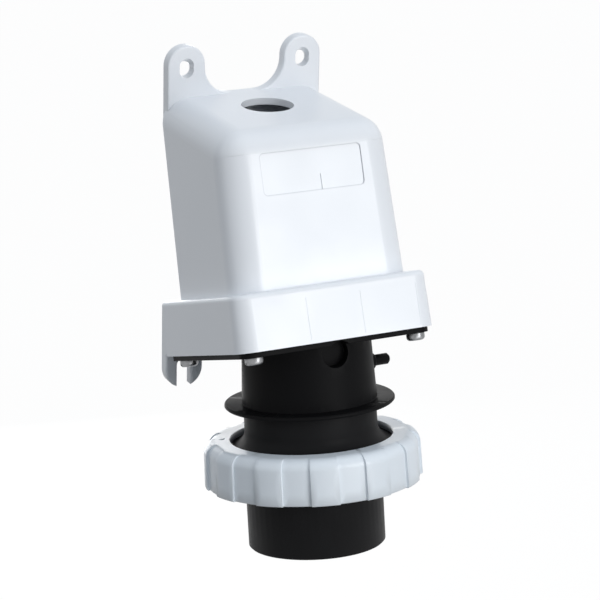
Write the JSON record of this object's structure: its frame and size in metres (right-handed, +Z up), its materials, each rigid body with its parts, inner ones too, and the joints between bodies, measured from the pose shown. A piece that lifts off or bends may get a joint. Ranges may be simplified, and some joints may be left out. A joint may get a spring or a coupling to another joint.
{
  "type": "wall-mounting industrial power inlet",
  "caption": "Leaning grey wall box with fixing ears and slotted tabs, carrying a black round pin inlet with a turning bayonet lock ring, for plugging in industrial power.",
  "frame": {"origin": "on the wall plane, midway between the two ear holes", "axes": "+Z up the wall, +Y into the wall, +X along the wall; the front faces -Y"},
  "size_m": [0.1008, 0.1361, 0.2244],
  "materials": {
    "box_plastic": "light grey moulded plastic, soft satin",
    "ring_plastic": "blue-grey moulded plastic, satin",
    "inlet_plastic": "black moulded plastic, satin",
    "carrier_plastic": "black moulded thermoset, matte",
    "seal_rubber": "black rubber",
    "screw_steel": "zinc plated steel",
    "pin_brass": "turned brass"
  },
  "bodies": {
    "inlet_body": {"wall_box": "box_plastic", "inlet_gasket": "seal_rubber", "inlet_barrel": "inlet_plastic", "pin_shroud": "inlet_plastic", "pin_carrier": "carrier_plastic", "shroud_seal": "seal_rubber", "neck_seal": "seal_rubber", "flange_screws": "screw_steel", "body_screws": "screw_steel", "terminal_screws": "screw_steel", "earth_pin": "pin_brass", "line_pin_1": "pin_brass", "line_pin_2": "pin_brass", "line_pin_3": "pin_brass", "neutral_pin": "pin_brass"},
    "ring": {"lock_ring": "ring_plastic"}
  },
  "joints": [
    {"name": "ring_turn", "type": "hinge", "parent": "inlet_body", "child": "ring", "pos_m": [0, -0.08473, -0.1673], "axis": [0, 0.1736, 0.9848], "continuous": true}
  ]
}
